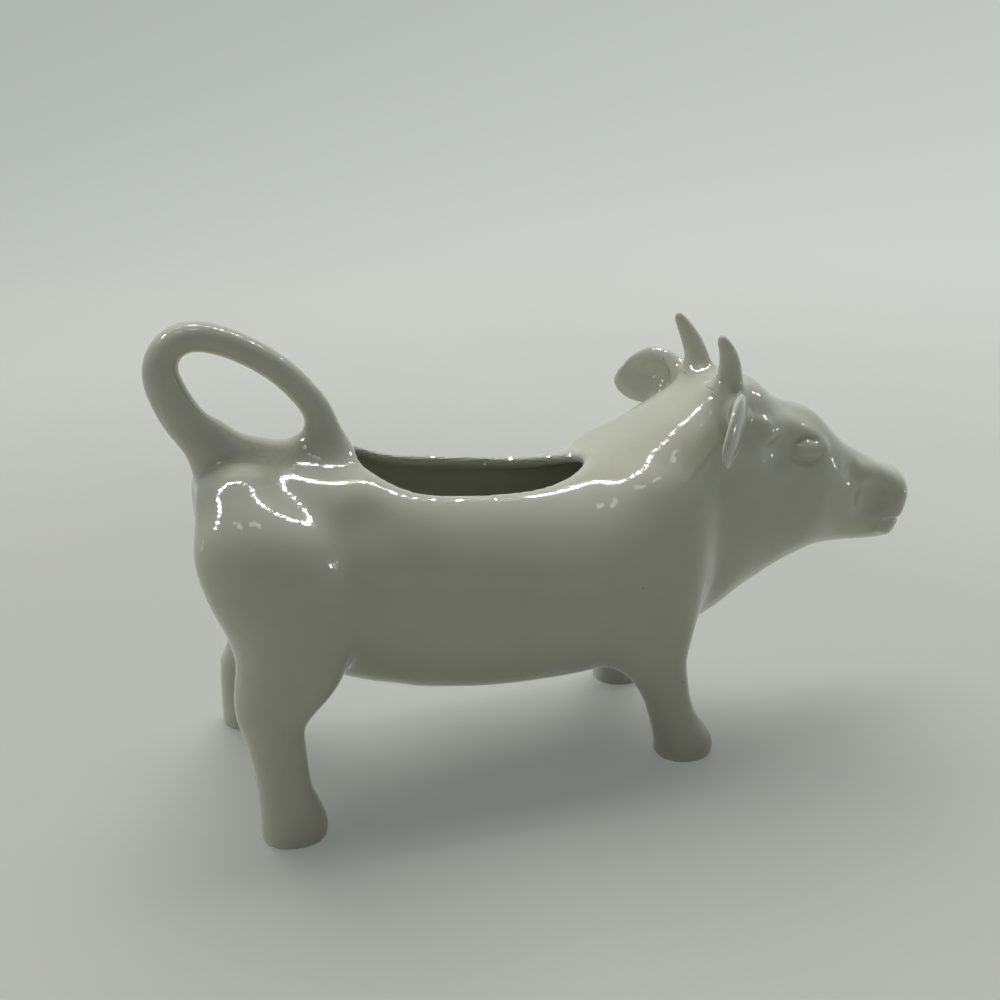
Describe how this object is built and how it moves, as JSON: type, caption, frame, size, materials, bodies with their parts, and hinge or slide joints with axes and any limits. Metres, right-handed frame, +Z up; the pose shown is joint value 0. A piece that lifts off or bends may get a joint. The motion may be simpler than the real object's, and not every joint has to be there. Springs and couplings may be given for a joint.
{
  "type": "cow creamer jug",
  "caption": "Cow-shaped porcelain cream jug: hollow standing body filled through an opening in the back, poured through the mouth and held by the looped tail.",
  "frame": {"origin": "on the table, midway along the whole length of the figure and midway between its sides", "axes": "+X along the cow towards its nose, +Y towards its left side, +Z up"},
  "size_m": [0.1953, 0.065, 0.1133],
  "materials": {
    "glaze": "clear gloss glaze over white porcelain, pooled in the hollows"
  },
  "bodies": {
    "root": {"body_shell": "glaze", "head_shell": "glaze", "tail_handle": "glaze", "left_horn": "glaze", "right_horn": "glaze", "left_ear": "glaze", "right_ear": "glaze", "front_left_leg": "glaze", "front_right_leg": "glaze", "rear_left_leg": "glaze", "rear_right_leg": "glaze"}
  },
  "joints": []
}
